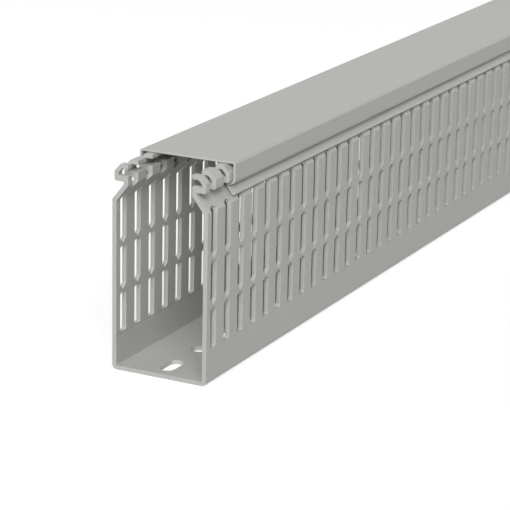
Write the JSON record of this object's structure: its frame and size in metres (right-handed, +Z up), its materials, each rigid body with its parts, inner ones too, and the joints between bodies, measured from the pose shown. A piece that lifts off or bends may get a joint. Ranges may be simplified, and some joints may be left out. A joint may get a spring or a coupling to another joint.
{
  "type": "slotted wire duct",
  "caption": "Open-slot plastic wiring duct with a fingered side wall each side, C-shaped finger heads, a punched base and a clip-on cover slid back from one end.",
  "frame": {"origin": "centre of the duct's underside, halfway along its length, on the surface that it lies on", "axes": "+X across the duct, +Y along it away from the end that the cover leaves open, +Z up from the base to the cover"},
  "size_m": [0.0378, 1.0192, 0.076],
  "materials": {
    "duct_pvc": "matte extruded and punched rigid PVC, stone grey",
    "cover_pvc": "matte extruded rigid PVC, stone grey"
  },
  "bodies": {
    "duct": {"trough": "duct_pvc"},
    "cover": {"cover": "cover_pvc"}
  },
  "joints": [
    {"name": "cover_slide", "type": "slide", "parent": "duct", "child": "cover", "axis": [0, 1, 0], "range_m": [-0.0192, 0.4808]}
  ]
}
